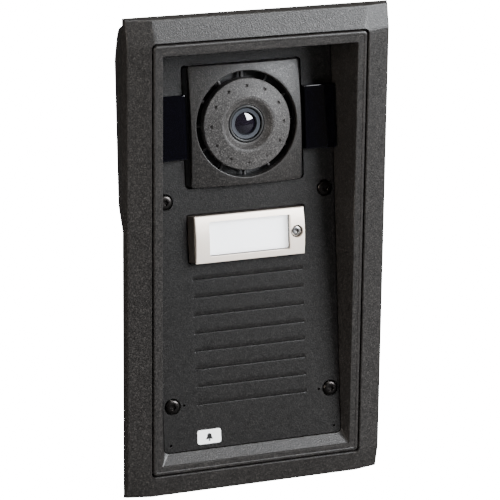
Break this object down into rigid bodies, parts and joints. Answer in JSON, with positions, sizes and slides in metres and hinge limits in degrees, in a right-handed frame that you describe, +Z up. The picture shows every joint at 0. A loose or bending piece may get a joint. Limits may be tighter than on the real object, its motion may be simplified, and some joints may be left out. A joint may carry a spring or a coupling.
{
  "type": "door intercom panel",
  "caption": "Flush-mounted outdoor door intercom: cast frame and deep housing, tilted plate with camera, infrared windows, sprung call button and speaker louvres.",
  "frame": {"origin": "centre of the flush frame's outline, on the wall's surface", "axes": "+X to the visitor's right, +Y into the wall, +Z up; the panel faces -Y"},
  "size_m": [0.135, 0.072, 0.242],
  "materials": {
    "cast_paint": "fine charcoal powder coat on cast metal",
    "plate_paint": "fine charcoal powder coat",
    "black_plastic": "matt black",
    "dark_plastic": "dark brown black, satin",
    "smoked_acrylic": "gloss black, passes infrared",
    "nickel": "satin nickel",
    "steel": "bright zinc plate",
    "dark_steel": "black zinc plate",
    "clear_acrylic": "clear cover",
    "card": "white card",
    "rubber": "black",
    "lens_glass": "coated lens",
    "lens_coat": "blue grey, satin",
    "circuit_board": "green solder mask",
    "terminal_green": "green",
    "white_plastic": "white",
    "ferrite": "sintered",
    "paper": "dark pressed paper"
  },
  "bodies": {
    "panel": {"badge_plate": "white_plastic", "board_screw_lower_left": "steel", "board_screw_lower_right": "steel", "board_screw_upper_left": "steel", "board_screw_upper_right": "steel", "button_board": "circuit_board", "button_guide": "black_plastic", "button_spring_left": "steel", "button_spring_right": "steel", "cable_gland_left": "black_plastic", "cable_gland_right": "black_plastic", "camera_bezel": "cast_paint", "camera_board": "circuit_board", "camera_body": "black_plastic", "camera_disc": "cast_paint", "camera_spoke_ring": "black_plastic", "door_relay": "black_plastic", "flush_frame": "cast_paint", "frame_screw_lower_left": "steel", "frame_screw_lower_right": "steel", "frame_screw_upper_left": "steel", "frame_screw_upper_right": "steel", "front_plate": "plate_paint", "gland_nut_left": "dark_plastic", "gland_nut_right": "dark_plastic", "housing": "cast_paint", "image_sensor": "dark_steel", "ir_board_left": "circuit_board", "ir_board_right": "circuit_board", "ir_window_left": "smoked_acrylic", "ir_window_right": "smoked_acrylic", "lens_barrel": "lens_coat", "lens_glass": "lens_glass", "lens_ring": "black_plastic", "main_board": "circuit_board", "mic_boot_left": "rubber", "mic_boot_right": "rubber", "mic_capsule_left": "steel", "mic_capsule_right": "steel", "network_socket": "steel", "plate_gasket": "rubber", "plate_screw_lower_left": "dark_steel", "plate_screw_lower_right": "dark_steel", "plate_screw_upper_left": "dark_steel", "plate_screw_upper_right": "dark_steel", "speaker_basket": "dark_steel", "speaker_cone": "paper", "speaker_magnet": "ferrite", "speaker_membrane": "paper", "switch_body": "black_plastic", "tamper_switch": "black_plastic", "terminal_block_left": "terminal_green", "terminal_block_right": "terminal_green", "wall_gasket": "rubber"},
    "call_button": {"button_face": "nickel", "button_body": "dark_plastic", "button_screw": "steel", "name_window": "clear_acrylic", "name_card": "card"},
    "switch_plunger": {"switch_cap": "dark_plastic"}
  },
  "joints": [
    {"name": "button_press", "type": "slide", "parent": "panel", "child": "call_button", "axis": [0, 0.9925, -0.1219], "range_m": [0, 0.001], "stiffness_N_per_m": 1200, "springref_m": -0.002, "deforming": ["button_spring_left", "button_spring_right"]},
    {"name": "switch_press", "type": "slide", "parent": "panel", "child": "switch_plunger", "axis": [0, 0.9925, -0.1219], "range_m": [0, 0.001]}
  ],
  "couplings": [
    {"joint": "switch_press", "follows": "button_press", "ratio": 1}
  ]
}
